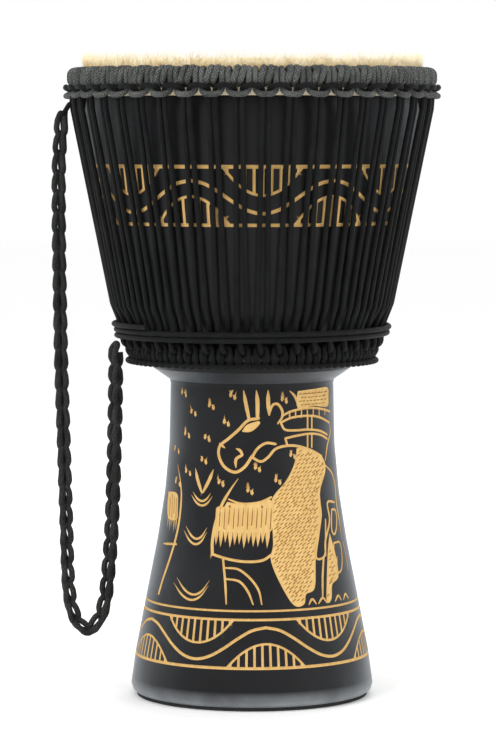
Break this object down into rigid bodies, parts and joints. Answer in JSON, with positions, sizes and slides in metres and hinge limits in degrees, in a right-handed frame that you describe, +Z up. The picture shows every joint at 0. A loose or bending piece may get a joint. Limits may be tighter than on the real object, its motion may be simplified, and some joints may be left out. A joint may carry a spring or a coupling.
{
  "type": "goblet drum",
  "caption": "Rope-tuned goblet drum with a carved shell, a laced skin head and a hanging chained-rope strap.",
  "frame": {"origin": "centre of the foot on the floor it stands on", "axes": "+Z up along the drum's axis, -Y towards the front with the carved picture, the strap hangs on the -X side"},
  "size_m": [0.3672, 0.3574, 0.606],
  "materials": {
    "stained_wood": "black stain rubbed with wax, carved through to pale wood",
    "tread_rubber": "matt black rubber strip",
    "goat_skin": "scraped rawhide, cream",
    "goat_hair": "rawhide with the hair left on, cream to golden",
    "ring_steel": "plain steel rod",
    "black_rope": "braided low-stretch rope, charcoal"
  },
  "bodies": {
    "root": {"shell": "stained_wood", "foot_tread": "tread_rubber", "drumhead": "goat_skin", "hair_collar": "goat_hair", "flesh_ring": "ring_steel", "crown_ring": "ring_steel", "foot_ring": "ring_steel", "crown_cradle": "black_rope", "foot_cradle": "black_rope", "tension_rope": "black_rope", "binding_rope": "black_rope", "strap_loop": "black_rope", "strap": "black_rope"}
  },
  "joints": []
}
